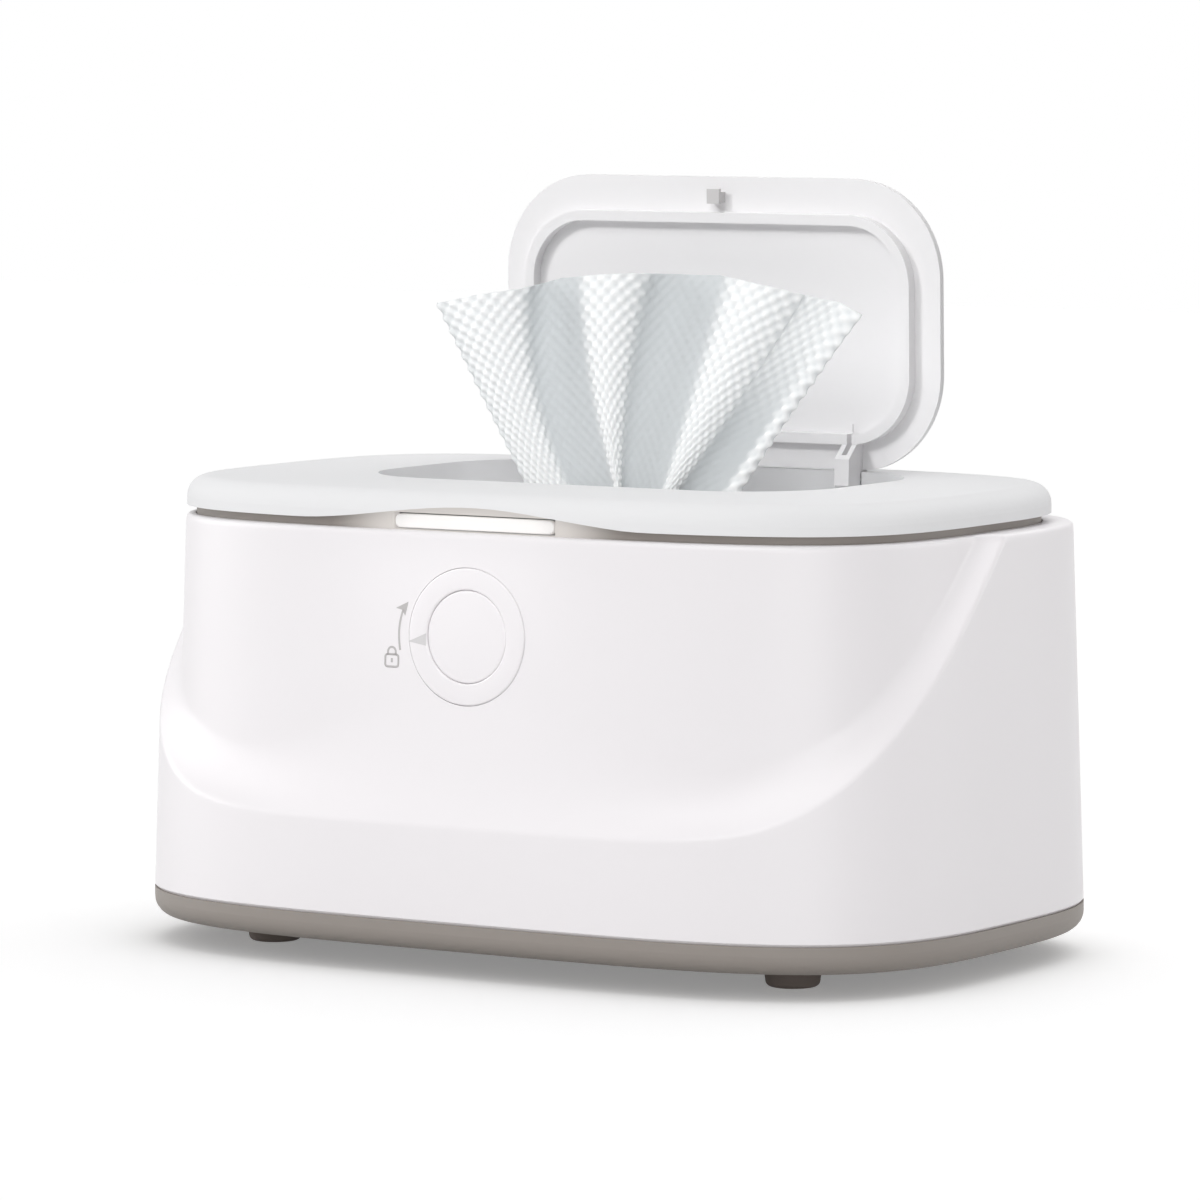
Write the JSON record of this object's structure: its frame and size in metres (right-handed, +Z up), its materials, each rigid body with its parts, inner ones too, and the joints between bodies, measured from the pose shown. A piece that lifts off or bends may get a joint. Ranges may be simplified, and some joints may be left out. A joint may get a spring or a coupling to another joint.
{
  "type": "baby wipe warmer",
  "caption": "Table-top wipe warmer: scooped oblong casing with heated tank, hinged main lid with dispenser slot, pop-up flip lid, lock dial, push button and night-light bar.",
  "frame": {"origin": "on the table under the middle of the casing, level with the undersides of the feet", "axes": "+X to the right along the long side, +Y from the dial side to the back, +Z up"},
  "size_m": [0.22, 0.145, 0.1835],
  "materials": {
    "white_shell": "satin injection-moulded ABS, white",
    "lid_shell": "satin injection-moulded ABS, white",
    "taupe_plastic": "fine-textured moulded plastic, taupe grey",
    "rubber": "matt moulded rubber, dark brown-grey",
    "steel": "zinc-plated screw and pin steel",
    "tank_plastic": "moulded polypropylene, off-white",
    "wipe": "spunlace nonwoven, white, embossed dots",
    "silicone": "moulded silicone, pale grey",
    "aluminium": "rolled sheet",
    "film": "polyimide heating film, amber",
    "foam": "closed-cell foam",
    "board": "glass-fibre circuit board, green",
    "black_plastic": "moulded black plastic",
    "light": "lit diffuser, opal acrylic",
    "led": "surface-mount lamp",
    "insulation": "silicone lead insulation"
  },
  "bodies": {
    "housing": {"base_screws": "steel", "base_tray": "taupe_plastic", "board_parts": "black_plastic", "board_screws": "steel", "bridge_screws": "steel", "button_spring": "steel", "control_board": "board", "heater_leads": "insulation", "heater_plate": "aluminium", "heating_film": "film", "insulation_pad": "foam", "light_bar": "light", "light_board": "board", "light_leds": "led", "outer_housing": "white_shell", "power_inlet": "black_plastic", "rim_ring": "taupe_plastic", "rubber_feet": "rubber", "switch_board": "board", "switch_bridge": "tank_plastic", "tact_switch": "black_plastic", "temperature_sensor": "black_plastic", "thermal_fuse": "steel", "wipe_stack": "wipe", "wipe_tank": "tank_plastic"},
    "main_lid": {"main_lid": "lid_shell", "lid_liner": "tank_plastic", "lid_seal": "silicone", "lid_screws": "steel", "lock_hook": "tank_plastic", "lid_hinge_pins": "steel", "dispenser_insert": "silicone", "flip_hinge_pins": "steel", "flip_springs": "steel", "flip_catch": "tank_plastic", "wipe_sheet": "wipe"},
    "flip_lid": {"flip_lid": "lid_shell", "latch_hook": "tank_plastic"},
    "dial": {"dial_ring": "white_shell", "lock_cam": "tank_plastic"},
    "button": {"center_button": "white_shell"}
  },
  "joints": [
    {"name": "lid_hinge", "type": "hinge", "parent": "housing", "child": "main_lid", "pos_m": [0, 0.0666, 0.1055], "axis": [-1, 0, 0], "range_deg": [0, 95]},
    {"name": "flip_hinge", "type": "hinge", "parent": "main_lid", "child": "flip_lid", "pos_m": [0, 0.0489, 0.1098], "axis": [1, 0, 0], "range_deg": [0, 88.7], "stiffness_Nm_per_rad": 0.008, "springref_deg": -28.65, "deforming": ["wipe_sheet"]},
    {"name": "dial_turn", "type": "hinge", "parent": "housing", "child": "dial", "pos_m": [0, -0.06525, 0.07925], "axis": [0, 0.9994, -0.0337], "range_deg": [-10, 30]},
    {"name": "button_press", "type": "slide", "parent": "housing", "child": "button", "axis": [0, 0.9994, -0.0337], "range_m": [0, 0.001], "stiffness_N_per_m": 150, "springref_m": -0.001, "deforming": ["button_spring"]}
  ]
}
